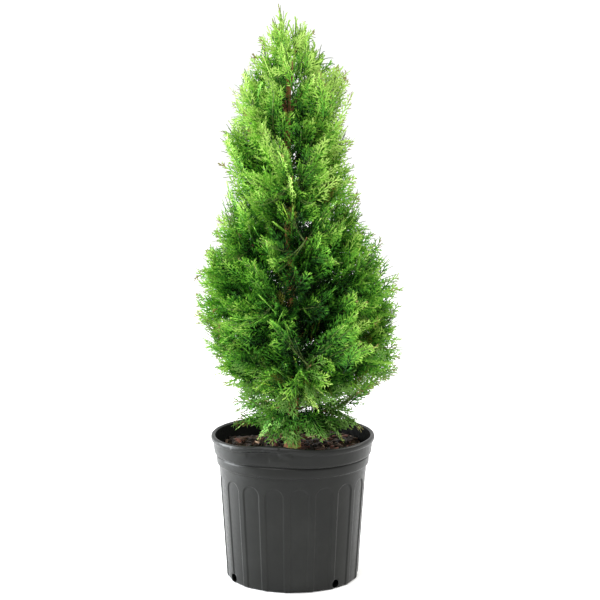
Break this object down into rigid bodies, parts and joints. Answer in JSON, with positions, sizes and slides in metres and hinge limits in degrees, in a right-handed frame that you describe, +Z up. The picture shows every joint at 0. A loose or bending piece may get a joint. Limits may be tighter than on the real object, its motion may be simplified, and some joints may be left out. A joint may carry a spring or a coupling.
{
  "type": "potted thuja",
  "caption": "Young narrow conifer with dense flat sprays on a forked trunk, standing in a ribbed black nursery pot with a dented rim.",
  "frame": {"origin": "middle of the pot's flat underside, on the surface it stands on", "axes": "+Z up along the pot's axis, -Y towards the viewer of the pot's dented side, +X to that viewer's right"},
  "size_m": [0.3351, 0.3356, 0.9683],
  "materials": {
    "pot": "black-grey moulded polyethylene, satin, slightly dusty",
    "soil": "moist dark potting mix of bark and peat, rough",
    "bark": "thin fibrous brown bark, matte",
    "foliage": "fresh bright green scale-leaf sprays, soft sheen"
  },
  "bodies": {
    "root": {"pot": "pot", "soil": "soil", "trunk": "bark", "leader_left": "bark", "leader_right": "bark", "bough_low_1": "bark", "bough_low_2": "bark", "bough_low_3": "bark", "bough_belly_1": "bark", "bough_belly_2": "bark", "bough_belly_3": "bark", "bough_belly_4": "bark", "bough_middle_1": "bark", "bough_middle_2": "bark", "bough_middle_3": "bark", "bough_middle_4": "bark", "bough_upper_1": "bark", "bough_upper_2": "bark", "bough_upper_3": "bark", "bough_upper_4": "bark", "bough_shoulder_1": "bark", "bough_shoulder_2": "bark", "bough_shoulder_3": "bark", "foliage_skirt_1": "foliage", "foliage_skirt_2": "foliage", "foliage_skirt_3": "foliage", "foliage_low_1": "foliage", "foliage_low_2": "foliage", "foliage_low_3": "foliage", "foliage_belly_1": "foliage", "foliage_belly_2": "foliage", "foliage_belly_3": "foliage", "foliage_belly_4": "foliage", "foliage_middle_1": "foliage", "foliage_middle_2": "foliage", "foliage_middle_3": "foliage", "foliage_middle_4": "foliage", "foliage_upper_1": "foliage", "foliage_upper_2": "foliage", "foliage_upper_3": "foliage", "foliage_upper_4": "foliage", "foliage_shoulder_1": "foliage", "foliage_shoulder_2": "foliage", "foliage_shoulder_3": "foliage", "foliage_neck_1": "foliage", "foliage_neck_2": "foliage", "foliage_neck_3": "foliage", "foliage_crest_1": "foliage", "foliage_crest_2": "foliage", "foliage_crest_3": "foliage", "foliage_top_1": "foliage", "foliage_top_2": "foliage"}
  },
  "joints": []
}
